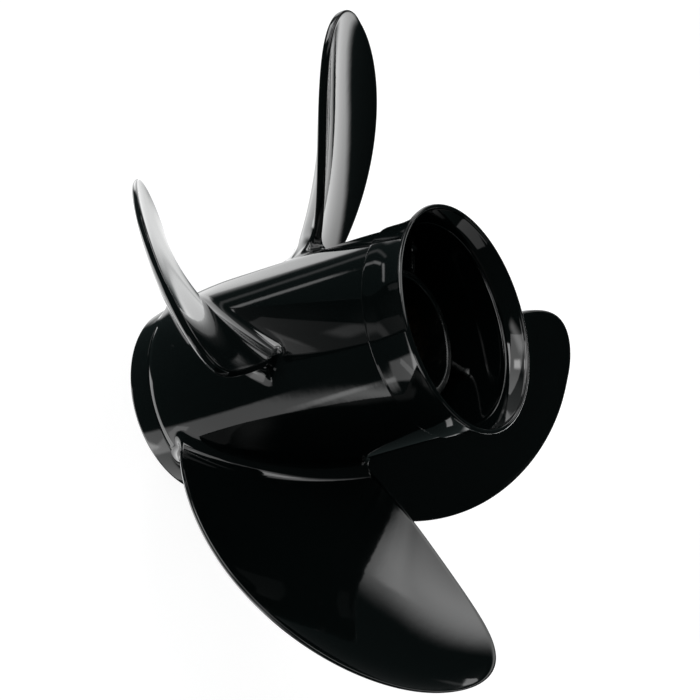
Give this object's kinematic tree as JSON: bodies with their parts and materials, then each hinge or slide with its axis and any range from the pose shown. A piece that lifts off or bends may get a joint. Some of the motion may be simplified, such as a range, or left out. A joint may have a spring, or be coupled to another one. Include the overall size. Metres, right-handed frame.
{
  "type": "outboard motor propeller",
  "caption": "Right-hand outboard motor propeller, gloss black: through-hub exhaust barrel with a flared rear ring, broad raked blades and a rubber-bushed splined hub.",
  "frame": {"origin": "on the shaft axis in the plane of the flat front rim that the propeller stands on", "axes": "+Z along the shaft axis, pointing aft to the flared open end; +X through the middle of blade_1's root; seen from behind (from +Z) the blades are numbered clockwise"},
  "size_m": [0.316, 0.316, 0.1674],
  "materials": {
    "black_paint": "high gloss black enamel on cast aluminium",
    "bushing_rubber": "moulded black rubber",
    "sleeve_brass": "broached brass"
  },
  "bodies": {
    "root": {"barrel": "black_paint", "front_ring": "black_paint", "flared_ring": "black_paint", "inner_hub": "black_paint", "blade_1": "black_paint", "blade_2": "black_paint", "blade_3": "black_paint", "blade_4": "black_paint", "rib_1": "black_paint", "rib_2": "black_paint", "rib_3": "black_paint", "rib_4": "black_paint", "rubber_bushing": "bushing_rubber", "spline_sleeve": "sleeve_brass"}
  },
  "joints": []
}
